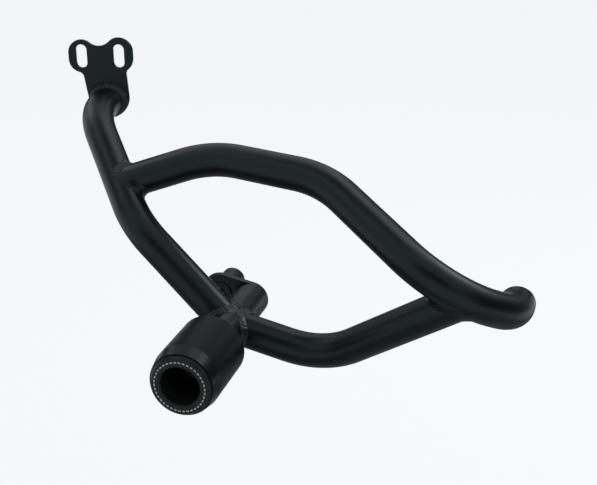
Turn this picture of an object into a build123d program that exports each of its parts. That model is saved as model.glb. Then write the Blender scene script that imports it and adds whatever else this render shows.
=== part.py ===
from build123d import *
from math import radians, tan
import os

# Side crash bar for a motorcycle: three bent tubes welded to a boss, a slotted plate at the top,
# an ear with a bush at the bottom, and a slider bolted to the boss.
# Millimetres. x runs along the upper plate, y is square to it and points at the bike, z is up.
# The origin lies midway between the two slots, on the face of the plate that bears on the bike.
# The slider and the tubes are laid out on axes turned from the plate's about the upright.

# Tube that the bar is bent from
tube_od = 25.4
tube_wall = 2.0

# Turn of the bar's own axes, and of the upright's stub, from a line square to the upper plate
bar_turn = 16
stub_turn = 12

# Stub of the upright: where its axis meets the plate's front, and its length up to the first bend
stub_offset = 4.2
stub_drop = 38.65
stub_straight = 5.3

# Runs of the tubes' centrelines, from one bend's corner to the next: how far each goes along the
# bike, out from it (in towards it where so named) and down, and the radii of the bends.
# Upright: elbow, leg, knee, then shin down to the junction
elbow_radius = 62
leg_along = 69.9
leg_out = 76.4
leg_drop = 64.5
knee_radius = 67.5
shin_along = 76.5
shin_out = 12.2
shin_drop = 67.5
# Loop: its first corner is set from the elbow's, then brow, flank and tip lead to the tail
rise_along = 117.3
rise_out = 39.6
rise_drop = 18.2
rise_radius = 90
brow_along = 93.4
brow_out = 21.4
brow_drop = 3.9
brow_radius = 87
flank_along = 98.9
flank_out = 66.3
flank_drop = 50.1
flank_radius = 57
tip_along = 42.1
tip_in = 43.9
tip_drop = 27.6
tip_radius = 39
tail_length = 18.6
# Lower tube: from the junction to its one corner
sole_along = 71.7
sole_in = 3.9
sole_drop = 18.5
sole_radius = 59

# Joints between the tubes: the loop leaves the upright below the elbow's corner, and the lower tube
# meets the loop before its tail. Each coped end stops short of the other tube's centreline.
loop_joint_drop = 81
lower_joint_from_tail = 62
cope_relief = 4

# Upper mounting plate
plate_thickness = 4
slot_width = 9
slot_length = 19.4
slot_spacing = 30.9
left_lobe_radius = 10.8
right_lobe_radius = 11.7
right_lobe_lift = 0.7
lobe_straight = 5.4
notch_radius = 11.7
neck_left = -15.7
neck_right = 20.4
neck_top = -10
foot_offset = 5.1
foot_drop = 34.8
foot_radius = 17
waist_radius = 5
plate_edge_break = 0.5

# Boss at the junction, along the slider's axis
boss_margin = 1.3
boss_wall = 3
boss_reach = 36
boss_depth = 46
insert_length = 25

# Ear on the boss's inner end, and its bush
ear_thickness = 5
ear_lobe_radius = 16
ear_edge_break = 0.5
bush_offset_along = -24
bush_offset_up = 3
bush_od = 19.6
bush_bore = 10.5
bush_proud = 1.5
bush_length = 26
bush_edge_break = 0.5

# Cap on the tail
cap_thickness = 2.5
cap_edge_radius = 1

# Weld beads
plate_weld_leg = 3.2
saddle_weld_leg = 2.6
ear_weld_leg = 1.4
bush_weld_leg = 2
weld_toe = 1.8

# Slider
slider_od = 48.6
slider_length = 62
slider_rear_break = 1.5
slider_floor = 22
nose_length = 13
nose_od = 45
ring_od = 43
ring_flange = 3.5
ring_spigot_od = 33
ring_spigot_length = 8
ring_outer_break = 1.8
ring_inner_break = 0.8
bore_diameter = 28

# Bolt that holds the slider
bolt_diameter = 10
bolt_clearance = 0.5
thread_clearance = 0.1
bolt_engagement = 20
head_diameter = 16
head_height = 10
socket_width = 8
socket_depth = 5
washer_od = 24
washer_thickness = 2.5

tube_radius = tube_od / 2
boss_radius = tube_radius + boss_margin
bolt_radius = bolt_diameter / 2
plate_inward = Vector(0, 1, 0)
plate_outward = Vector(0, -1, 0)
stub_direction = plate_outward.rotate(Axis.Z, -stub_turn)
inward = plate_inward.rotate(Axis.Z, -bar_turn)
outward = plate_outward.rotate(Axis.Z, -bar_turn)
along_bar = Vector(1, 0, 0).rotate(Axis.Z, -bar_turn)


def run(along, out, drop):
    """Step of a centreline along the bike, out from it and down."""
    return along_bar * along + outward * out + Vector(0, 0, -drop)


def bar(path, radius):
    """Solid round bar along a centreline."""
    return sweep(Plane(origin=path @ 0, z_dir=path % 0) * Circle(radius), path=path)


def tube(path):
    """Length of the tube stock along a centreline."""
    return bar(path, tube_radius) - bar(path, tube_radius - tube_wall)


def rod(start, direction, radius, length):
    """Straight round bar from a point."""
    stand = (Align.CENTER, Align.CENTER, Align.MIN)
    return Plane(origin=start, z_dir=direction) * Cylinder(radius, length, align=stand)


def round_bead(start, direction, bar_direction, radius, leg):
    """Weld bead round a bar that stands on a flat face, square to it or leaning."""
    roll = Plane(origin=start, z_dir=direction) * Torus(radius, leg)
    front = rod(start, direction, radius + 2 * leg, 2 * leg)
    return (roll & front) - rod(start - bar_direction * radius, bar_direction, radius, 2 * radius)


def turned(seat, outline):
    """Body turned about the slider's axis, from (radius, distance out from the seat) points."""
    section = Plane(origin=seat, x_dir=along_bar, z_dir=(0, 0, -1)) * make_face(Polyline(*outline, close=True))
    return revolve(section, Axis(seat, outward))


# Centrelines. The elbow's corner lies as far from the plate as its bend needs.
leg = run(leg_along, leg_out, leg_drop)
elbow_setback = elbow_radius * tan(radians(leg.get_angle(stub_direction)) / 2)
stub_root = Vector(stub_offset, -plate_thickness, -stub_drop)
elbow = stub_root + stub_direction * (stub_straight + elbow_setback)
knee = elbow + leg
junction = knee + run(shin_along, shin_out, shin_drop)
stub_start = stub_root - stub_direction * plate_thickness
upright_path = FilletPolyline(stub_start, elbow, knee, junction, radius=(elbow_radius, knee_radius))

loop_joint = elbow + (knee - elbow).normalized() * loop_joint_drop
loop_corner = elbow + run(rise_along, rise_out, rise_drop)
loop_shoulder = loop_corner + run(brow_along, brow_out, brow_drop)
loop_nose = loop_shoulder + run(flank_along, flank_out, flank_drop)
tail_corner = loop_nose + run(tip_along, -tip_in, tip_drop)
tail_end = tail_corner + inward * tail_length
loop_direction = (loop_corner - loop_joint).normalized()
loop_path = FilletPolyline(
    loop_joint + loop_direction * cope_relief,
    loop_corner,
    loop_shoulder,
    loop_nose,
    tail_corner,
    tail_end,
    radius=(rise_radius, brow_radius, flank_radius, tip_radius),
)

lower_joint = loop_path.position_at(loop_path.length - lower_joint_from_tail, PositionMode.LENGTH)
lower_knee = junction + run(sole_along, -sole_in, sole_drop)
lower_direction = (lower_knee - lower_joint).normalized()
lower_path = FilletPolyline(
    junction, lower_knee, lower_joint + lower_direction * cope_relief, radius=sole_radius
)

# Upper mounting plate: a lobe round each slot, joined by a web with a round notch, over a neck that
# narrows to a round foot
lobes = (
    (Vector(-slot_spacing / 2, 0), left_lobe_radius),
    (Vector(slot_spacing / 2, right_lobe_lift), right_lobe_radius),
)
foot = Location((foot_offset, -foot_drop), 90) * Circle(foot_radius)
neck_edge = Line((neck_left, neck_top), (neck_right, neck_top))
plate_face = make_hull(foot.edges() + neck_edge.edges())
for centre, radius in lobes:
    plate_face += Pos(centre) * SlotOverall(lobe_straight + 2 * radius, 2 * radius, rotation=90)

# The notch's arc touches the lobes' upper rounds, whose centres are left_top and right_top
left_top, right_top = (centre + Vector(0, lobe_straight / 2) for centre, _ in lobes)
left_reach, right_reach = (radius + notch_radius for _, radius in lobes)
span = right_top - left_top
level = (left_reach**2 - right_reach**2 + span.length**2) / (2 * span.length)
height = (left_reach**2 - level**2) ** 0.5
across = span.normalized()
notch_centre = left_top + across * level + across.rotate(Axis.Z, 90) * height
left_touch = left_top + (notch_centre - left_top).normalized() * left_lobe_radius
right_touch = right_top + (notch_centre - right_top).normalized() * right_lobe_radius
web_foot = (Vector(neck_right, neck_top), Vector(neck_left, neck_top))
web = make_face(Polyline(left_top, left_touch, right_touch, right_top, *web_foot, close=True))
plate_face += web - Pos(notch_centre) * Circle(notch_radius)

# The waist is rounded where the lobes meet the neck, and the slots are cut
for side in (-1, 1):
    below = plate_face.vertices().filter_by(lambda corner: corner.Y < neck_top)
    waist = below.filter_by(lambda corner: (corner.X - foot_offset) * side > 0).sort_by(Axis.Y)[-1]
    plate_face = fillet(waist, waist_radius)
for centre, _ in lobes:
    plate_face -= Pos(centre.X, 0) * SlotOverall(slot_length, slot_width, rotation=90)
upper_mount_plate = extrude(Plane.XZ * plate_face, plate_thickness)
upper_mount_plate = chamfer(upper_mount_plate.edges().group_by(Axis.Y)[0], plate_edge_break)
upper_mount_plate = chamfer(upper_mount_plate.edges().group_by(Axis.Y)[-1], plate_edge_break)

# Boss and its threaded plug
boss_outer_end = junction + outward * boss_reach
boss_inner_end = junction + inward * boss_depth
boss_blank = rod(boss_outer_end, inward, boss_radius, boss_reach + boss_depth)
slider_boss = boss_blank - rod(boss_outer_end, inward, boss_radius - boss_wall, boss_reach + boss_depth)
boss_insert = rod(boss_outer_end, inward, boss_radius - boss_wall, insert_length)
boss_insert -= rod(boss_outer_end, inward, bolt_radius + thread_clearance, insert_length)

# Tubes, each coped to the bar it lands on, the upright also cut off at the plate's front
upright_bar = bar(upright_path, tube_radius)
loop_bar = bar(loop_path, tube_radius)
upright_tube = tube(upright_path) - boss_blank - rod(stub_root, plate_inward, tube_od, tube_od)
loop_tube = tube(loop_path) - upright_bar
lower_tube = tube(lower_path) - boss_blank - loop_bar

# Ear on the boss's inner end and the bush through it
bush_axis = boss_inner_end + along_bar * bush_offset_along + Vector(0, 0, bush_offset_up)
ear_end = Circle(boss_radius)
ear_lobe = Pos(bush_offset_along, bush_offset_up) * Circle(ear_lobe_radius)
ear_face = make_hull(ear_end.edges() + ear_lobe.edges())
ear_plane = Plane(origin=boss_inner_end, x_dir=along_bar, z_dir=outward)
lower_mount_ear = extrude(ear_plane * ear_face, -ear_thickness)
lower_mount_ear = chamfer(lower_mount_ear.edges().group_by(Axis((0, 0, 0), inward))[-1], ear_edge_break)
lower_mount_ear -= rod(bush_axis, inward, bush_od / 2, ear_thickness)
bush_start = bush_axis + outward * bush_proud
bush_total = bush_proud + ear_thickness + bush_length
lower_mount_bush = rod(bush_start, inward, bush_od / 2, bush_total)
lower_mount_bush = chamfer(lower_mount_bush.edges().filter_by(GeomType.CIRCLE), bush_edge_break)
lower_mount_bush -= rod(bush_start, inward, bush_bore / 2, bush_total)

# Cap on the tail
tail_cap = rod(tail_end, inward, tube_radius, cap_thickness)
tail_cap = fillet(tail_cap.edges().group_by(Axis((0, 0, 0), inward))[-1], cap_edge_radius)


def saddle_bead(joint, direction, branch_radius, branch, run_grown, run, start):
    """Weld bead in the corner between a coped tube and the bar that it lands on."""
    reach = 3 * branch_radius
    grown = rod(joint + direction * start, direction, branch_radius + saddle_weld_leg, reach)
    return (grown & run_grown) - run - branch


# Weld beads
plate_weld = round_bead(stub_root, plate_outward, stub_direction, tube_radius, plate_weld_leg)
plate_weld &= extrude(Plane.XZ * plate_face, plate_thickness + plate_weld_leg)
ear_weld = round_bead(boss_inner_end, outward, outward, boss_radius, ear_weld_leg)
ear_weld &= rod(bush_axis, outward, ear_lobe_radius - ear_edge_break, 2 * ear_weld_leg)
ear_weld -= rod(bush_axis, outward, bush_od / 2, 2 * ear_weld_leg)
bush_weld = round_bead(bush_axis + inward * ear_thickness, inward, inward, bush_od / 2, bush_weld_leg)

boss_grown = rod(boss_outer_end, inward, boss_radius + saddle_weld_leg, boss_reach + boss_depth)
boss_side = (boss_radius**2 - tube_radius**2) ** 0.5 - weld_toe
lower_bar = bar(lower_path, tube_radius)
upright_boss_weld = saddle_bead(
    junction, (knee - junction).normalized(), tube_radius, upright_bar, boss_grown, boss_blank, boss_side
)
lower_boss_weld = saddle_bead(
    junction, (lower_knee - junction).normalized(), tube_radius, lower_bar, boss_grown, boss_blank, boss_side
)
upright_grown = bar(upright_path, tube_radius + saddle_weld_leg)
loop_weld = saddle_bead(loop_joint, loop_direction, tube_radius, loop_bar, upright_grown, upright_bar, weld_toe)
loop_grown = bar(loop_path, tube_radius + saddle_weld_leg)
lower_loop_weld = saddle_bead(lower_joint, lower_direction, tube_radius, lower_bar, loop_grown, loop_bar, weld_toe)

# Slider, its front ring and the bolt that holds it
hole_radius = bolt_radius + bolt_clearance
bore_radius = bore_diameter / 2
body_front = slider_length - ring_flange
spigot_end = body_front - ring_spigot_length
slider_body = turned(boss_outer_end, (
    (hole_radius, 0),
    (slider_od / 2 - slider_rear_break, 0),
    (slider_od / 2, slider_rear_break),
    (slider_od / 2, slider_length - nose_length),
    (nose_od / 2, body_front),
    (ring_spigot_od / 2, body_front),
    (ring_spigot_od / 2, spigot_end),
    (bore_radius, spigot_end),
    (bore_radius, slider_floor),
    (hole_radius, slider_floor),
))
slider_ring = turned(boss_outer_end, (
    (bore_radius, spigot_end),
    (ring_spigot_od / 2, spigot_end),
    (ring_spigot_od / 2, body_front),
    (ring_od / 2, body_front),
    (ring_od / 2, slider_length - ring_outer_break),
    (ring_od / 2 - ring_outer_break, slider_length),
    (bore_radius + ring_inner_break, slider_length),
    (bore_radius, slider_length - ring_inner_break),
))
washer_seat = boss_outer_end + outward * slider_floor
slider_washer = rod(washer_seat, outward, washer_od / 2, washer_thickness)
slider_washer -= rod(washer_seat, outward, hole_radius, washer_thickness)
head_seat = washer_seat + outward * washer_thickness
shank_length = washer_thickness + slider_floor + bolt_engagement
slider_bolt = rod(head_seat, outward, head_diameter / 2, head_height)
slider_bolt += rod(head_seat, inward, bolt_radius, shank_length)
socket_face = Plane(origin=head_seat + outward * head_height, z_dir=inward) * RegularPolygon(
    socket_width / 2, 6, major_radius=False
)
slider_bolt -= extrude(socket_face, socket_depth)

pieces = {
    "upper_mount_plate": upper_mount_plate,
    "upright_tube": upright_tube,
    "loop_tube": loop_tube,
    "lower_tube": lower_tube,
    "slider_boss": slider_boss,
    "boss_insert": boss_insert,
    "lower_mount_ear": lower_mount_ear,
    "lower_mount_bush": lower_mount_bush,
    "tail_cap": tail_cap,
    "plate_weld": plate_weld,
    "loop_weld": loop_weld,
    "upright_boss_weld": upright_boss_weld,
    "lower_boss_weld": lower_boss_weld,
    "lower_loop_weld": lower_loop_weld,
    "ear_weld": ear_weld,
    "bush_weld": bush_weld,
    "slider_body": slider_body,
    "slider_ring": slider_ring,
    "slider_washer": slider_washer,
    "slider_bolt": slider_bolt,
}
os.makedirs("parts", exist_ok=True)
for name, piece in pieces.items():
    export_step(piece, f"parts/{name}.step")
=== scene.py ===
import bpy
from math import cos, pi, radians, sin, tan, tau
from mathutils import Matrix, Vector
from mathutils.bvhtree import BVHTree


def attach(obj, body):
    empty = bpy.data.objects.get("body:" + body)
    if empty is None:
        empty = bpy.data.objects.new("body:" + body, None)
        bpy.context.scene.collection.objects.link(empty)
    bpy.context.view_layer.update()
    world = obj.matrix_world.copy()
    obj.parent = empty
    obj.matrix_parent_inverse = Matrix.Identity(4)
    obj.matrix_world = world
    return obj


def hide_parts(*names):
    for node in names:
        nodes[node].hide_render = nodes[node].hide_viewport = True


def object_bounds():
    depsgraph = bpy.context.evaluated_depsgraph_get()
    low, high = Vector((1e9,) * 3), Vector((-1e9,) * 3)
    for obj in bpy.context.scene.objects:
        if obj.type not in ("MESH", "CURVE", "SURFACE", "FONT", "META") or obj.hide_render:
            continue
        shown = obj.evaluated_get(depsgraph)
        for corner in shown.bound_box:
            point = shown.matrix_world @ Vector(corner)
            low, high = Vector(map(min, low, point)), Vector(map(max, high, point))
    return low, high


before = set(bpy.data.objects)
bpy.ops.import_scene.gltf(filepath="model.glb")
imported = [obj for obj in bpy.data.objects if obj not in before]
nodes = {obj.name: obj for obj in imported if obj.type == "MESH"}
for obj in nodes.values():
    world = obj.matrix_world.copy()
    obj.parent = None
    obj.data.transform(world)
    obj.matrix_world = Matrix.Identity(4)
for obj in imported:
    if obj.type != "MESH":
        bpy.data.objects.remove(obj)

cad_box = [list(corner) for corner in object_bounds()]


# Upper mounting plate: 4 mm steel, cut to a two-lobed outline with a slot in each lobe, then
# powder-coated satin black with the rest of the weldment. It is bolted to the motorcycle.
class Socket:
    """An output in a node tree, so that shader maths reads as a formula."""

    def __init__(self, tree, output=None):
        self.tree = tree
        self.output = output

    def node(self, kind, settings=None, inputs=None, output=0):
        """Adds a node: its settings first, then the values or links of its sockets."""
        made = self.tree.nodes.new(kind)
        for name, value in (settings or {}).items():
            setattr(made, name, value)
        for name, value in (inputs or {}).items():
            if isinstance(value, Socket):
                self.tree.links.new(value.output, made.inputs[name])
            else:
                made.inputs[name].default_value = value
        return Socket(self.tree, made.outputs[output])

    def maths(self, operation, first, second=0.0):
        return self.node("ShaderNodeMath", {"operation": operation}, {0: first, 1: second})

    def __add__(self, other):
        return self.maths("ADD", self, other)

    __radd__ = __add__

    def __sub__(self, other):
        return self.maths("SUBTRACT", self, other)

    def __rsub__(self, other):
        return self.maths("SUBTRACT", other, self)

    def __mul__(self, other):
        return self.maths("MULTIPLY", self, other)

    __rmul__ = __mul__

    def __truediv__(self, other):
        return self.maths("DIVIDE", self, other)

    def __rtruediv__(self, other):
        return self.maths("DIVIDE", other, self)

    def __gt__(self, other):
        return self.maths("GREATER_THAN", self, other)

    def __lt__(self, other):
        return self.maths("LESS_THAN", self, other)


def new_material(name):
    """A material with a principled shader, and the object coordinates to build on."""
    material = bpy.data.materials.new(name)
    material.use_nodes = True
    tree = material.node_tree
    place = Socket(tree).node("ShaderNodeTexCoord", output="Object")
    return material, tree.nodes["Principled BSDF"], place


def feed(node, name, value):
    """Links a value to one of a node's sockets."""
    value.tree.links.new(value.output, node.inputs[name])


def noise(place, size, detail=2.0):
    """Soft noise whose lumps are about the size given, from 0 to 1."""
    return place.node("ShaderNodeTexNoise", None, {"Vector": place, "Scale": 1 / size, "Detail": detail})


def blend(factor, first, second):
    """Colour between two, by a factor."""
    return factor.node("ShaderNodeMix", {"data_type": "RGBA"}, {0: factor, 6: first, 7: second}, output=2)


gleam_tint = (0.80, 1.0, 1.0, 1)


def gleam(shader, level):
    """How strongly a black finish mirrors the room, in the cool tint of its highlights."""
    shader.inputs["Specular IOR Level"].default_value = level
    shader.inputs["Specular Tint"].default_value = gleam_tint


def relief(shader, height, strength, depth):
    """Fine relief on a finish, from a height over its surface."""
    inputs = {"Strength": strength, "Distance": depth, "Height": height}
    feed(shader, "Normal", height.node("ShaderNodeBump", None, inputs))


def dress(names, material):
    """Gives the solids named a material."""
    for name in names:
        mesh = nodes[name].data
        mesh.materials.clear()
        mesh.materials.append(material)


coat_dark = (0.0018, 0.0030, 0.0030, 1)
coat_light = (0.0038, 0.0060, 0.0059, 1)
coat_roughness = 0.29
coat_gleam = 0.26
cloud_size = 0.030
cloud_roughness = 0.08
peel_size = 0.0016
peel_roughness = 0.05
peel_depth = 0.00004
peel_strength = 0.22

coat, shader, place = new_material("satin_black_coat")
clouds = noise(place, cloud_size, detail=3.0)
peel = noise(place, peel_size)
feed(shader, "Base Color", blend(clouds, coat_dark, coat_light))
feed(shader, "Roughness", coat_roughness + cloud_roughness * clouds + peel_roughness * peel)
gleam(shader, coat_gleam)
relief(shader, peel, peel_strength, peel_depth)
dress(["upper_mount_plate"], coat)


# Upright tube: 25.4 mm steel tube, bent at the elbow and at the knee on its way from the plate to the
# boss. It is cut off at the plate's front, coped to the boss, welded to both and coated.
tube_radius = 0.0127
bar_turn = radians(16)
stub_turn = radians(12)
along_bar = Vector((cos(bar_turn), -sin(bar_turn), 0))
outward = Vector((-sin(bar_turn), -cos(bar_turn), 0))
stub_direction = Vector((-sin(stub_turn), -cos(stub_turn), 0))


def run(along, out, drop):
    """Step of a centreline from one bend's corner to the next: along the bike, out from it and down."""
    return along_bar * along + outward * out - Vector((0, 0, drop))


plate_thickness = 0.004
stub_offset = 0.0042
stub_drop = 0.03865
stub_straight = 0.0053
elbow_radius = 0.062
leg = run(along=0.0699, out=0.0764, drop=0.0645)
shin = run(along=0.0765, out=0.0122, drop=0.0675)
elbow_setback = elbow_radius * tan(leg.angle(stub_direction) / 2)
stub_root = Vector((stub_offset, -plate_thickness, -stub_drop))
elbow = stub_root + stub_direction * (stub_straight + elbow_setback)
knee = elbow + leg
junction = knee + shin
dress(["upright_tube"], coat)


# Boss: a short thick steel tube across the junction, with an ear and a through bush on its inner end
# for the lower mount. They are welded to one another and coated.
dress(["slider_boss", "lower_mount_ear", "lower_mount_bush", "ear_weld", "bush_weld"], coat)


# Loop tube: the same steel tube, coped to the upright's leg, bent over the top and round to its tail.
# It is welded to the leg, a plain disc closes the tail, and both are coated.
loop_joint_drop = 0.081
rise = run(along=0.1173, out=0.0396, drop=0.0182)
brow = run(along=0.0934, out=0.0214, drop=0.0039)
flank = run(along=0.0989, out=0.0663, drop=0.0501)
tip = run(along=0.0421, out=-0.0439, drop=0.0276)
tail_length = 0.0186
nose_radius = 0.057
tail_radius = 0.039
loop_joint = elbow + leg.normalized() * loop_joint_drop
loop_corner = elbow + rise
loop_nose = loop_corner + brow + flank
dress(["loop_tube", "tail_cap"], coat)


# Lower tube: the same steel tube, from the boss round one bend and up to the bend of the loop's nose.
# It is coped and welded at both ends, and coated.
sole = run(along=0.0717, out=-0.0039, drop=0.0185)
lower_knee = junction + sole

# Its upper joint lies on that bend, at a length along the loop from the tail's end
lower_joint_from_tail = 0.062
tail_bend = tip.angle(-outward)
tail_setback = tail_radius * tan(tail_bend / 2)
nose_setback = nose_radius * tan(flank.angle(tip) / 2)
tip_straight = tip.length - nose_setback - tail_setback
nose_to_tail = tip_straight + tail_radius * tail_bend + tail_length - tail_setback
ahead = tip.normalized()
nose_inside = (ahead * ahead.dot(flank) - flank).normalized()
nose_end = loop_nose + ahead * nose_setback
back = (lower_joint_from_tail - nose_to_tail) / nose_radius
lower_joint = nose_end + (nose_inside * (1 - cos(back)) - ahead * sin(back)) * nose_radius
dress(["lower_tube"], coat)


# Weld beads: steel, laid by hand in overlapping puddles round each joint, and coated with the rest.
# On the puddled beads at the plate and at the boss the coat's colour is painted paler, a painted sheen
# for the glints these beads catch, with a random mottle.
# Both bead colours are paler than the coat's: painted sheen for the glints on the puddled beads.
bead_painted_sheen_dark = (0.005, 0.007, 0.007, 1)
bead_painted_sheen_light = (0.016, 0.020, 0.020, 1)
bead_roughness = 0.28
mottle_size = 0.0022
mottle_roughness = 0.16
mottle_depth = 0.00012
mottle_strength = 0.5

bead_coat_painted_sheen, shader, place = new_material("coated_weld_painted_sheen")
mottle = noise(place, mottle_size, detail=3.0)
feed(shader, "Base Color", blend(mottle, bead_painted_sheen_dark, bead_painted_sheen_light))
feed(shader, "Roughness", bead_roughness + mottle_roughness * mottle)
gleam(shader, coat_gleam)
relief(shader, mottle, mottle_strength, mottle_depth)

steps_round = 480
rows_across = 9
corner_easing = 12
normal_easing = 16
ray_start = 0.045
ray_share = 0.995
toe_sunk = 0.00008
root_depth = 0.0008
acute_widening = 0.7
puddle_lag = 0.45
puddle_depth = 0.70
# A hand's drift round a joint, as waves: the size of each, how many go round, and where it starts
width_drift = ((0.10, 3, 1.3), (0.07, 7, 0.4))
pace_drift = ((0.35, 3, 0.0), (0.20, 11, 0.9))
depth_drift = ((0.30, 5, 0.7),)


def drift(waves, turn):
    """Sum of some waves at a turn round the joint."""
    return sum(size * sin(count * turn + start) for size, count, start in waves)


def eased(ring, reach):
    """Vectors round a ring, each the mean of its neighbours up to a number of steps away."""
    count = len(ring)
    near = range(-reach, reach + 1)
    return [
        sum((ring[(step + shift) % count] for shift in near), Vector()) / len(near)
        for step in range(count)
    ]


def seam(surface, joint, axis):
    """Corner round a tube where it lands on a surface: directions out of the tube, points and normals."""
    side = axis.orthogonal().normalized()
    other = axis.cross(side)
    outs = []
    corners = []
    normals = []
    for step in range(steps_round):
        turn = tau * step / steps_round
        out = side * cos(turn) + other * sin(turn)
        start = joint + out * tube_radius * ray_share + axis * ray_start
        corner, normal, _, _ = surface.ray_cast(start, -axis)
        outs.append(out)
        corners.append(corner)
        normals.append(normal)
    return zip(outs, eased(corners, corner_easing), eased(normals, normal_easing))


def toes(surface, joint, axis, out, corner, normal, width):
    """Edges of a bead at one place of its seam, sunk a little: on the surface and on the tube."""
    over_surface = out - axis
    over_surface -= normal * over_surface.dot(normal)
    over_tube = normal + axis
    over_tube -= out * over_tube.dot(out)
    landing_toe, landing_normal, _, _ = surface.find_nearest(corner + over_surface.normalized() * width)
    tube_toe = corner + over_tube.normalized() * width - joint
    level = axis * tube_toe.dot(axis)
    tube_toe = joint + level + (tube_toe - level).normalized() * (tube_radius - toe_sunk)
    return landing_toe - landing_normal * toe_sunk, tube_toe


def ring_faces(wide):
    """Faces between the sections of a closed ring, with a number of points in each section."""
    faces = []
    for step in range(steps_round):
        here = step * wide
        there = (step + 1) % steps_round * wide
        for row in range(wide):
            beyond = (row + 1) % wide
            faces.append((here + row, here + beyond, there + beyond, there + row))
    return faces


def laid_bead(node, landing, joint, towards, toe, pitch, fill, swell, ripple, finish):
    """Weld bead round a tube where it lands on another piece, as a ring of overlapping puddles.

    Toe is its reach from the corner, and pitch is the step from one puddle to the next. Fill runs from
    0, hollow to the corner, to 1, flat from toe to toe. Swell is how far it stands out past that, and
    ripple is the height of the puddles.
    """
    mesh = nodes[landing].data
    surface = BVHTree.FromPolygons([v.co for v in mesh.vertices], [p.vertices for p in mesh.polygons])
    axis = (towards - joint).normalized()
    sections = []
    middles = []
    length = 0.0
    for step, (out, corner, normal) in enumerate(seam(surface, joint, axis)):
        normal = normal.normalized()
        acute = max(0.0, -normal.dot(out))
        width = toe * (1 + acute_widening * acute + drift(width_drift, tau * step / steps_round))
        landing_toe, tube_toe = toes(surface, joint, axis, out, corner, normal, width)
        middle = (landing_toe + tube_toe) / 2
        if middles:
            length += (middle - middles[-1]).length
        middles.append(middle)
        face = (normal + out).normalized()
        hub = corner.lerp(middle, fill) + face * swell
        root = corner - face * root_depth
        sections.append((landing_toe, hub, tube_toe, root, face, length))
    length += (middles[0] - middles[-1]).length

    puddles = round(length / pitch)
    points = []
    for landing_toe, hub, tube_toe, root, face, reached in sections:
        lap = tau * reached / length
        pace = puddles * reached / length + drift(pace_drift, lap)
        depth = puddle_depth + drift(depth_drift, lap)
        for row in range(rows_across):
            share = row / (rows_across - 1)
            dome = 4 * share * (1 - share)
            scallop = depth * abs(sin(pi * (pace - puddle_lag * dome)))
            point = landing_toe.lerp(hub, share).lerp(hub.lerp(tube_toe, share), share)
            points.append(point + face * (ripple * (scallop - 0.5) * dome ** 0.5))
        points.append(root)

    faces = ring_faces(rows_across + 1)
    bead = bpy.data.meshes.new(node + "_laid")
    bead.from_pydata(points, [], faces)
    bead.polygons.foreach_set("use_smooth", [True] * len(faces))
    bead.materials.append(finish)
    piece = bpy.data.objects.new(node + "_laid", bead)
    bpy.context.scene.collection.objects.link(piece)
    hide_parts(node)
    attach(piece, "root")


laid_bead(
    "plate_weld", "upper_mount_plate", stub_root, elbow,
    toe=0.0045, pitch=0.0036, fill=1.0, swell=0.0010, ripple=0.0006, finish=bead_coat_painted_sheen,
)
laid_bead(
    "upright_boss_weld", "slider_boss", junction, knee,
    toe=0.0042, pitch=0.0041, fill=1.0, swell=0.0008, ripple=0.0005, finish=bead_coat_painted_sheen,
)
laid_bead(
    "lower_boss_weld", "slider_boss", junction, lower_knee,
    toe=0.0042, pitch=0.0047, fill=1.0, swell=0.0008, ripple=0.0005, finish=bead_coat_painted_sheen,
)
laid_bead(
    "loop_weld", "upright_tube", loop_joint, loop_corner,
    toe=0.0054, pitch=0.0030, fill=0.25, swell=0.0008, ripple=0.0001, finish=coat,
)
laid_bead(
    "lower_loop_weld", "loop_tube", lower_joint, lower_knee,
    toe=0.0044, pitch=0.0030, fill=0.25, swell=0.0008, ripple=0.0001, finish=coat,
)


# Slider body: turned from black polymer, with a tapered nose and a bore for the bolt's head. It is
# clamped to the boss, and fine turning lines run round it.
boss_reach = 0.036
slider_length = 0.062
nose_length = 0.013
slider_seat = junction + outward * boss_reach


def from_seat(place, axis):
    """Distance from the slider's seat along an axis, in metres."""
    offset = place.node("ShaderNodeVectorMath", {"operation": "SUBTRACT"}, {0: place, 1: slider_seat})
    return place.node("ShaderNodeVectorMath", {"operation": "DOT_PRODUCT"}, {0: offset, 1: axis}, "Value")


def turning_lines(distance, pitch):
    """Waves a pitch apart, from 0 to 1, as a lathe tool leaves them."""
    return distance.maths("SINE", distance * (tau / pitch)) * 0.5 + 0.5


polymer_dark = (0.0032, 0.0052, 0.0048, 1)
polymer_light = (0.0066, 0.0094, 0.0088, 1)
polymer_roughness = 0.34
polymer_gleam = 0.13
grain_size = 0.0011
grain_roughness = 0.08
grain_height = 0.6
handling_size = 0.012
handling_roughness = 0.08
nose_polish = 0.14
body_line_pitch = 0.0007
body_line_depth = 0.00003
body_line_strength = 0.25

polymer, shader, place = new_material("turned_polymer")
out = from_seat(place, outward)
grain = noise(place, grain_size)
handling = noise(place, handling_size, detail=3.0)
nose = out > slider_length - nose_length
dulled = grain_roughness * grain + handling_roughness * handling
feed(shader, "Base Color", blend(handling, polymer_dark, polymer_light))
feed(shader, "Roughness", polymer_roughness + dulled - nose_polish * nose)
gleam(shader, polymer_gleam)
lines = turning_lines(out, body_line_pitch)
relief(shader, lines + grain_height * grain, body_line_strength, body_line_depth)
dress(["slider_body"], polymer)


# Slider's front ring: aluminium, turned, anodised black and pressed into the nose. A ring of even
# pale dashes is printed round its face.
ring_dark = (0.008, 0.009, 0.009, 1)
ring_light = (0.014, 0.015, 0.015, 1)
ring_roughness = 0.33
ring_gleam = 0.20
smear_size = 0.006
smear_roughness = 0.08
dash_tint = (0.62, 0.63, 0.62, 1)
dash_radius = 0.0178
dash_width = 0.0009
dashes_round = 38
dash_share = 0.58
dash_roughness = 0.15
dash_least = 0.35
wear_size = 0.003
face_margin = 0.0001
ring_line_pitch = 0.0005
ring_line_depth = 0.00002
ring_line_strength = 0.2

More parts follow.
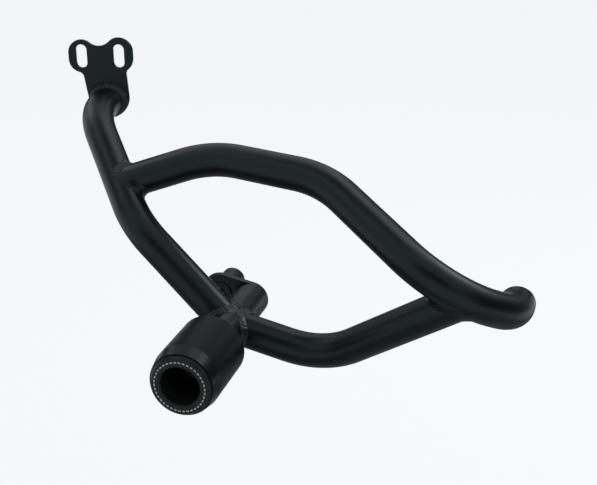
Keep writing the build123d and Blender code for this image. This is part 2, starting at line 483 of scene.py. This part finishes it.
ring_black, shader, place = new_material("black_anodised_ring")
out = from_seat(place, outward)
across = from_seat(place, along_bar)
upward = from_seat(place, Vector((0, 0, 1)))
away = place.maths("SQRT", across * across + upward * upward)
turn = place.maths("ARCTAN2", upward, across) / tau + 1.0
beat = place.maths("FRACT", turn * dashes_round)
off_line = place.maths("ABSOLUTE", away - dash_radius)
on_face = out > slider_length - face_margin
printed = (beat < dash_share) * (off_line < dash_width / 2) * on_face
ink = printed * (dash_least + (1 - dash_least) * noise(place, wear_size, detail=3.0))
smear = noise(place, smear_size)
feed(shader, "Base Color", blend(ink, blend(smear, ring_dark, ring_light), dash_tint))
feed(shader, "Roughness", ring_roughness + smear_roughness * smear + dash_roughness * printed)
gleam(shader, ring_gleam)
relief(shader, turning_lines(away, ring_line_pitch), ring_line_strength, ring_line_depth)
dress(["slider_ring"], ring_black)


# Bolt, washer and threaded plug: steel, zinc plated and passivated dark. Deep in the slider's bore,
# the bolt clamps the slider to the plug in the boss's outer end.
zinc_dark = (0.030, 0.031, 0.032, 1)
zinc_light = (0.055, 0.056, 0.058, 1)
zinc_roughness = 0.35
zinc_metallic = 0.9
bloom_size = 0.004
bloom_roughness = 0.15

plated, shader, place = new_material("dark_zinc")
bloom = noise(place, bloom_size, detail=3.0)
feed(shader, "Base Color", blend(bloom, zinc_dark, zinc_light))
feed(shader, "Roughness", zinc_roughness + bloom_roughness * bloom)
shader.inputs["Metallic"].default_value = zinc_metallic
dress(["slider_washer", "slider_bolt", "boss_insert"], plated)


# Studio: a wide floor, painted pale, well below the part, in a room of the same pale colour. Floor and
# room are bright to the eye and in a gloss, and dimmer in the light that they give.
pale = (0.930, 0.938, 0.955, 1)
floor_pale = (0.920, 0.928, 0.945, 1)
floor_glow = (0.962, 0.976, 0.990, 1)
floor_glow_share = 0.85
floor_cloud = 0.9
floor_roughness = 0.9
floor_gleam = 0.1
floor_drop = 0.25
floor_reach = 30.0
floor_level = cad_box[0][2] - floor_drop
room_light = 0.60
room_glow = 0.37


def lying(low, high, level):
    """Corners of a rectangle that lies level, between two opposite corners."""
    return [
        (low[0], low[1], level),
        (high[0], low[1], level),
        (high[0], high[1], level),
        (low[0], high[1], level),
    ]


def rectangles(name, corners):
    """Object of rectangles, from four corners each."""
    mesh = bpy.data.meshes.new(name)
    mesh.from_pydata(corners, [], [tuple(range(first, first + 4)) for first in range(0, len(corners), 4)])
    made = bpy.data.objects.new(name, mesh)
    bpy.context.scene.collection.objects.link(made)
    return made


def seen_directly(tree):
    """1 for the rays that show a thing to the eye, straight or in a gloss, and 0 for those that light."""
    kinds = ("Is Camera Ray", "Is Glossy Ray", "Is Transmission Ray")
    camera, glossy, through = (Socket(tree).node("ShaderNodeLightPath", output=kind) for kind in kinds)
    return camera.maths("MINIMUM", camera + glossy + through, 1.0)


floor = rectangles("floor", lying((-floor_reach, -floor_reach), (floor_reach, floor_reach), floor_level))
floor_paint, shader, place = new_material("pale_floor")
feed(shader, "Base Color", blend(noise(place, floor_cloud), floor_pale, pale))
shader.inputs["Roughness"].default_value = floor_roughness
shader.inputs["Specular IOR Level"].default_value = floor_gleam
tree = floor_paint.node_tree
painted = Socket(tree, shader.outputs[0])
glow = place.node("ShaderNodeEmission", None, {"Color": floor_glow})
glow_share = floor_glow_share * seen_directly(tree)
mixed = place.node("ShaderNodeMixShader", None, {0: glow_share, 1: painted, 2: glow})
feed(tree.nodes["Material Output"], "Surface", mixed)
floor.data.materials.append(floor_paint)

room = bpy.data.worlds.new("studio")
bpy.context.scene.world = room
room.use_nodes = True
background = room.node_tree.nodes["Background"]
background.inputs["Color"].default_value = pale
feed(background, "Strength", room_light + room_glow * seen_directly(room.node_tree))


# Cards: painted boards out of view, dark ones in front of the part, beside it, over it and behind it,
# and grey and pale ones under it. Only a gloss shows them, as the streaks along the tubes.
card_cloud = 0.5
card_lightening = 1.5
card_roughness = 1.0
card_lift = 0.002
card_level = floor_level + card_lift
dark_shade = (0.030, 0.031, 0.032, 1)
grey_shade = (0.20, 0.202, 0.206, 1)
pale_shade = (0.34, 0.344, 0.350, 1)


def upright(left, right, bottom, top):
    """Corners of an upright rectangle over the line between two places on the floor."""
    return [(*left, bottom), (*right, bottom), (*right, top), (*left, top)]


def cards(name, shade, corners):
    """Cards of one shade, four corners each, that only a gloss shows."""
    lighter = (*(card_lightening * part for part in shade[:3]), 1)
    paint, shader, place = new_material(name)
    feed(shader, "Base Color", blend(noise(place, card_cloud), shade, lighter))
    shader.inputs["Roughness"].default_value = card_roughness
    stand = rectangles(name, corners)
    stand.data.materials.append(paint)
    stand.visible_camera = False
    stand.visible_diffuse = False
    stand.visible_shadow = False
    stand.visible_transmission = False


front_card = upright((-1.0, -2.0), (1.0, -2.0), bottom=0.35, top=2.0)
left_card = upright((-2.0, -0.6), (-2.0, 0.4), bottom=0.4, top=1.5)
top_card = lying((-0.7, -0.4), (0.35, 0.35), level=1.6)
right_card = upright((1.6, -2.0), (1.8, -0.2), bottom=-0.45, top=0.9)
far_right_card = upright((1.8, -0.2), (1.9, 0.9), bottom=-0.45, top=0.5)
back_left_card = upright((-1.4, 1.6), (0.85, 1.6), bottom=-0.3, top=0.42)
back_card = upright((0.85, 1.6), (1.5, 1.6), bottom=-0.3, top=1.3)
back_right_card = upright((1.5, 1.6), (3.0, 1.6), bottom=-0.3, top=0.85)
side_cards = left_card + top_card + right_card + far_right_card
back_cards = back_left_card + back_card + back_right_card
cards("dark_cards", dark_shade, front_card + side_cards + back_cards)

under_left = lying((-0.5, -0.56), (0.06, 0.9), card_level)
under_right = lying((0.3, -0.08), (0.8, 0.9), card_level)
cards("grey_cards", grey_shade, under_left + under_right)

under_front = lying((0.06, -0.56), (0.8, -0.08), card_level)
under_middle = lying((0.06, -0.08), (0.3, 0.9), card_level)
cards("pale_cards", pale_shade, under_front + under_middle)


# Lamps: three large soft squares, over the part and behind it, that point at about its middle. They
# add highlights along its upper edges to the even light of the room.
lamp_aim = Vector((0.14, -0.14, -0.10))


def soft_lamp(name, place, size, power):
    """Large square lamp that points at the part."""
    data = bpy.data.lights.new(name, "AREA")
    data.shape = "SQUARE"
    data.size = size
    data.energy = power
    lamp = bpy.data.objects.new(name, data)
    lamp.location = place
    lamp.rotation_euler = (lamp_aim - Vector(place)).to_track_quat("-Z", "Y").to_euler()
    bpy.context.scene.collection.objects.link(lamp)


soft_lamp("top_lamp", place=(0.55, 0.45, 1.25), size=0.7, power=2.2)
soft_lamp("left_lamp", place=(-0.94, 0.6, 0.94), size=0.5, power=1.2)
soft_lamp("right_lamp", place=(1.13, 0.38, 0.77), size=0.55, power=5)


# Camera: where the photograph was taken from, almost square to the upper plate and a little above it.
# Its place, tilt and lens come from a fit of the tubes' outlines to the photograph.
view_place = (0.16351, -0.82017, 0.14595)
view_elevation = radians(20.9)
view_turn = radians(-0.1)
lens = bpy.data.cameras.new("camera")
lens.sensor_fit = "HORIZONTAL"
lens.sensor_width = 36
lens.lens = 59.1
camera = bpy.data.objects.new("camera", lens)
camera.location = view_place
camera.rotation_euler = (pi / 2 - view_elevation, 0, view_turn)
bpy.context.scene.collection.objects.link(camera)
bpy.context.scene.camera = camera
bpy.context.scene.view_settings.view_transform = "Standard"
